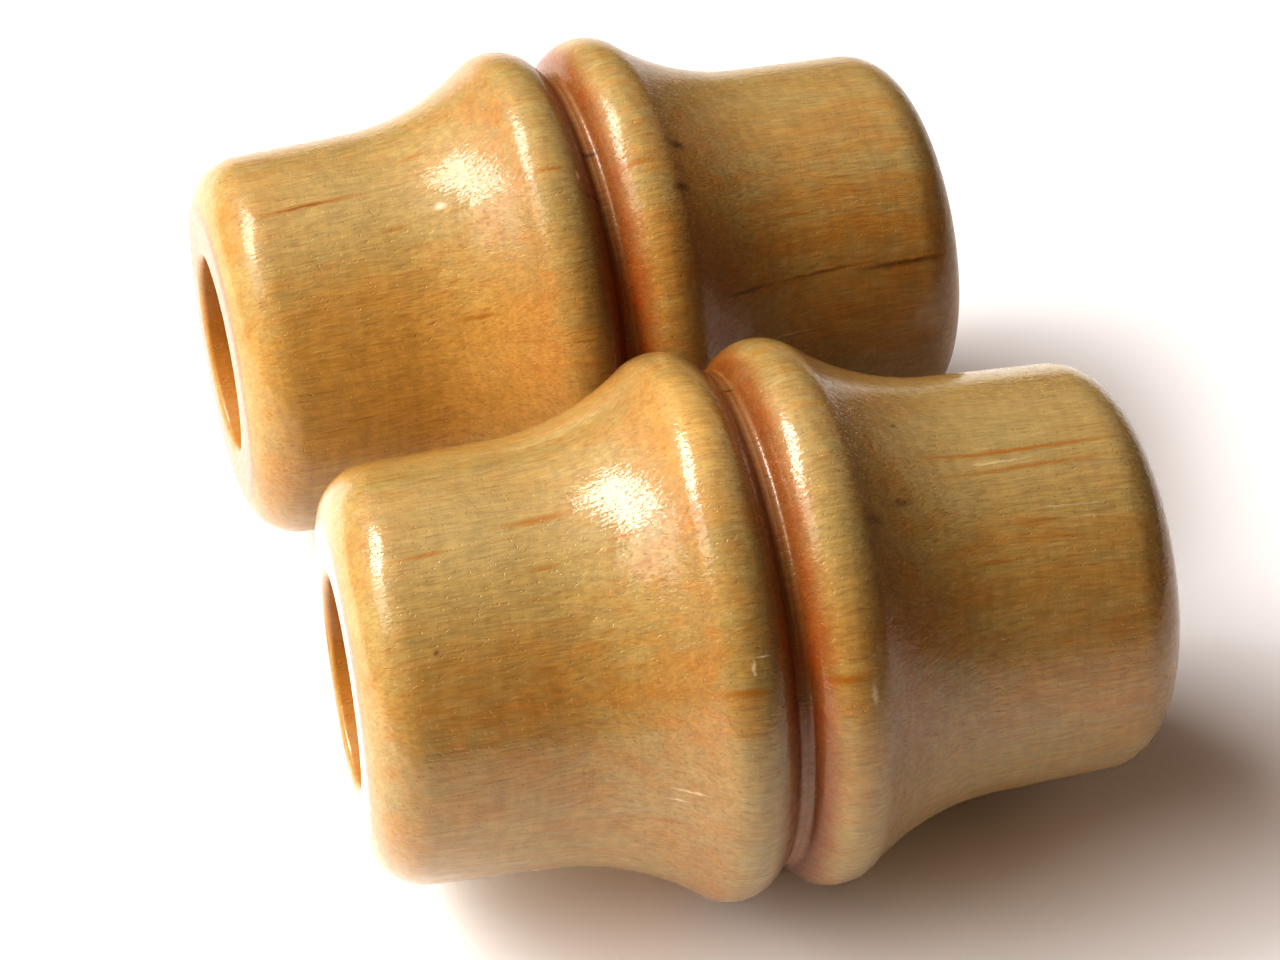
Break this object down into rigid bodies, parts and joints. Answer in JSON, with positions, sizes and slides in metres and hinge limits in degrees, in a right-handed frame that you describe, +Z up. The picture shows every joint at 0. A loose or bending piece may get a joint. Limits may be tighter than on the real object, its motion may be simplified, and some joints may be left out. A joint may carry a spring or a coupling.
{
  "type": "claves",
  "caption": "Pair of short drilled claves turned from pale varnished hardwood, each a waisted barrel with a double ring at mid-length, lying side by side.",
  "frame": {"origin": "on the resting surface, midway between the two claves", "axes": "+X along the pair, halfway between the directions of the two bores; +Y from the front clave to the rear one; +Z up"},
  "size_m": [0.0526, 0.069, 0.0344],
  "materials": {
    "front_wood": "gloss",
    "rear_wood": "gloss"
  },
  "bodies": {
    "front": {"front_clave": "front_wood"},
    "rear": {"rear_clave": "rear_wood"}
  },
  "joints": [
    {"name": "strike_stroke", "type": "slide", "parent": "front", "child": "rear", "axis": [0, 1, 0], "range_m": [0, 0.08]}
  ]
}
